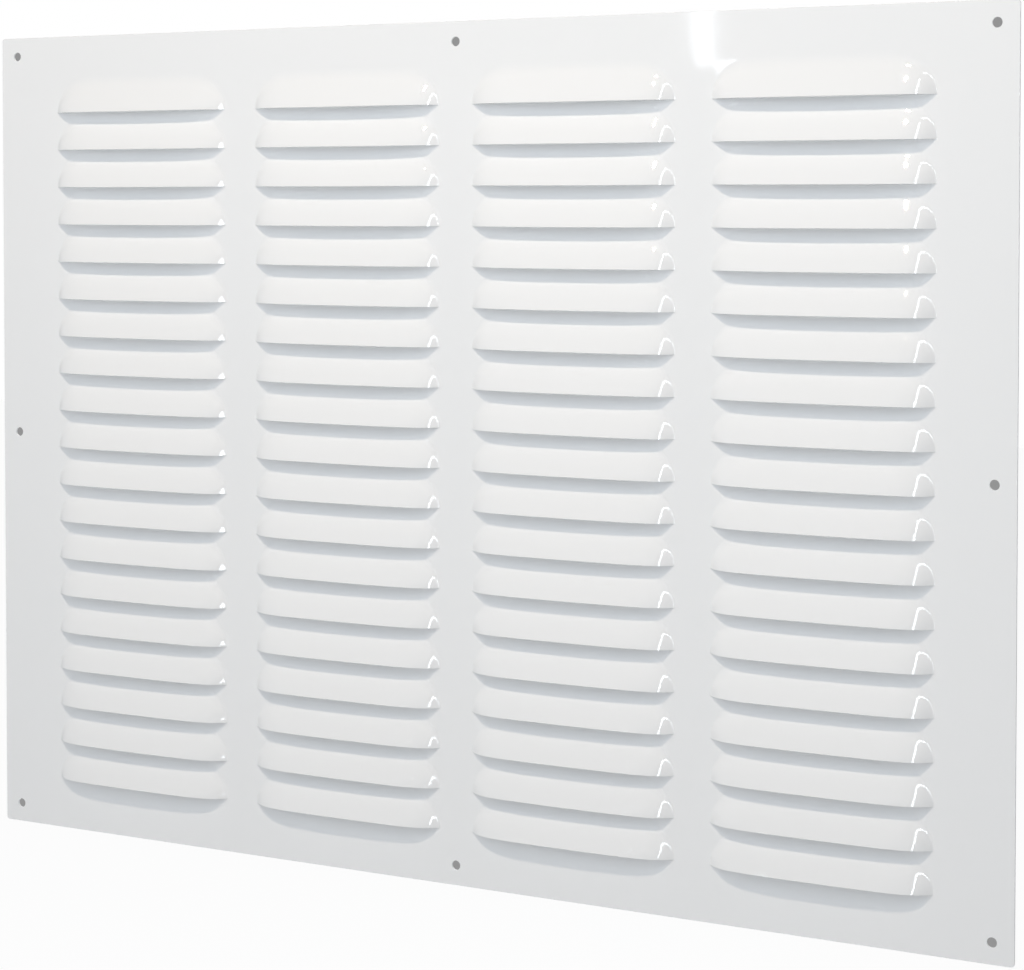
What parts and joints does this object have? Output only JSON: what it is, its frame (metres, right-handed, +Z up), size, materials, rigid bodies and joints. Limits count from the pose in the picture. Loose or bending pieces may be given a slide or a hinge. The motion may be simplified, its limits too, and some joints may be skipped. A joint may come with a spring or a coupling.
{
  "type": "ventilation grille",
  "caption": "Flat rectangular steel ventilation grille with columns of pressed, downward-opening hooded louvres and fixing holes round its rim.",
  "frame": {"origin": "centre of the flat back face, on the plain strip between the two middle columns", "axes": "+X along the louvres to the right as seen from the front, +Y into the wall behind the sheet, +Z up; the louvres bulge towards -Y and open downward"},
  "size_m": [0.6, 0.009, 0.45],
  "materials": {
    "white_enamel": "smooth gloss white enamel baked on steel"
  },
  "bodies": {
    "root": {"louvre_panel": "white_enamel"}
  },
  "joints": []
}
